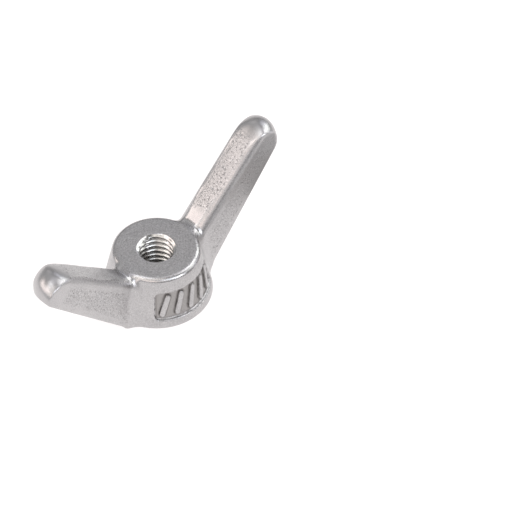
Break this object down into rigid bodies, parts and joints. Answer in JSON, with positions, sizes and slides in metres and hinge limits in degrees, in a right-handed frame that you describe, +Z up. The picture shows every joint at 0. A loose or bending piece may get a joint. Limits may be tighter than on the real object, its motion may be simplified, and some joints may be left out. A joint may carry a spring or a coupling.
{
  "type": "wing nut",
  "caption": "Long straight-winged nut with a tapped cylindrical boss, turned by hand to clamp on a metric bolt or stud.",
  "frame": {"origin": "on the thread axis in the plane of the bearing face", "axes": "+Z up along the thread axis away from the clamped surface, X along the wing span, Y across the wings; the recessed panel faces -Y"},
  "size_m": [0.0478, 0.0168, 0.0196],
  "materials": {
    "tapped_boss": "satin cast stainless with machined thread",
    "cast_wings": "tumbled cast stainless, fine pits, polished wing tips"
  },
  "bodies": {
    "root": {"threaded_boss": "tapped_boss", "wing_left": "cast_wings", "wing_right": "cast_wings"}
  },
  "joints": []
}
